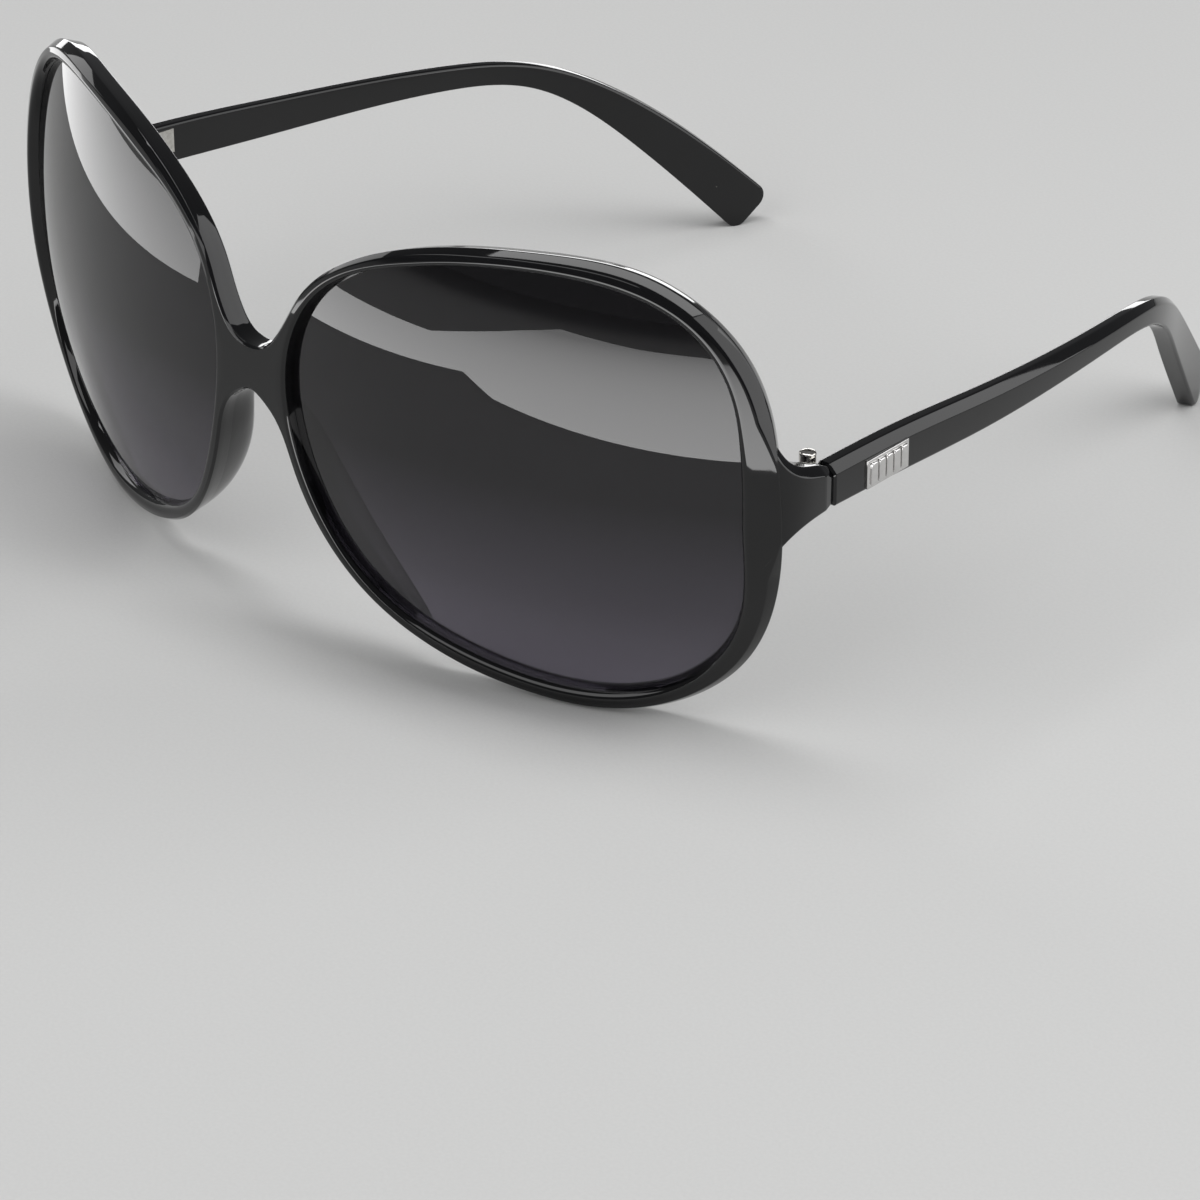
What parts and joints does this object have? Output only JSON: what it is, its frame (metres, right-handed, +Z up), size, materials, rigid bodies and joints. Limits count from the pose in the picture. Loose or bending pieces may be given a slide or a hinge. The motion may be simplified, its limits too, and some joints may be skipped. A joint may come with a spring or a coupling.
{
  "type": "sunglasses",
  "caption": "Oversized wrap sunglasses: rounded smoke lenses in a slim glossy black front with a saddle bridge, and folding arms on screwed barrel hinges with fluted metal plaques.",
  "frame": {"origin": "on the table, under the middle of the open glasses", "axes": "+X towards the wearer's left, -Y the way the wearer looks, +Z up"},
  "size_m": [0.1456, 0.1432, 0.0645],
  "materials": {
    "black_gloss": "polished",
    "smoke_lens": "polished, dark tint paler towards the lower edge",
    "bright_steel": "bright",
    "silver_plate": "polished"
  },
  "bodies": {
    "front": {"front_frame": "black_gloss", "lens_left": "smoke_lens", "lens_right": "smoke_lens", "nose_pad_left": "black_gloss", "nose_pad_right": "black_gloss", "hinge_front_leaf_left": "bright_steel", "hinge_front_leaf_right": "bright_steel", "hinge_screw_left": "bright_steel", "hinge_screw_right": "bright_steel", "leaf_anchors_left": "bright_steel", "leaf_anchors_right": "bright_steel"},
    "left_temple": {"temple_left": "black_gloss", "hinge_temple_leaf_left": "bright_steel", "core_wire_left": "bright_steel", "plaque_left": "silver_plate", "plaque_pins_left": "silver_plate"},
    "right_temple": {"temple_right": "black_gloss", "hinge_temple_leaf_right": "bright_steel", "core_wire_right": "bright_steel", "plaque_right": "silver_plate", "plaque_pins_right": "silver_plate"}
  },
  "joints": [
    {"name": "left_fold", "type": "hinge", "parent": "front", "child": "left_temple", "pos_m": [0.06819, -0.03941, 0.03514], "axis": [0, 0, 1], "range_deg": [0, 81]},
    {"name": "right_fold", "type": "hinge", "parent": "front", "child": "right_temple", "pos_m": [-0.06819, -0.03941, 0.03514], "axis": [0, 0, -1], "range_deg": [0, 76.5]}
  ]
}
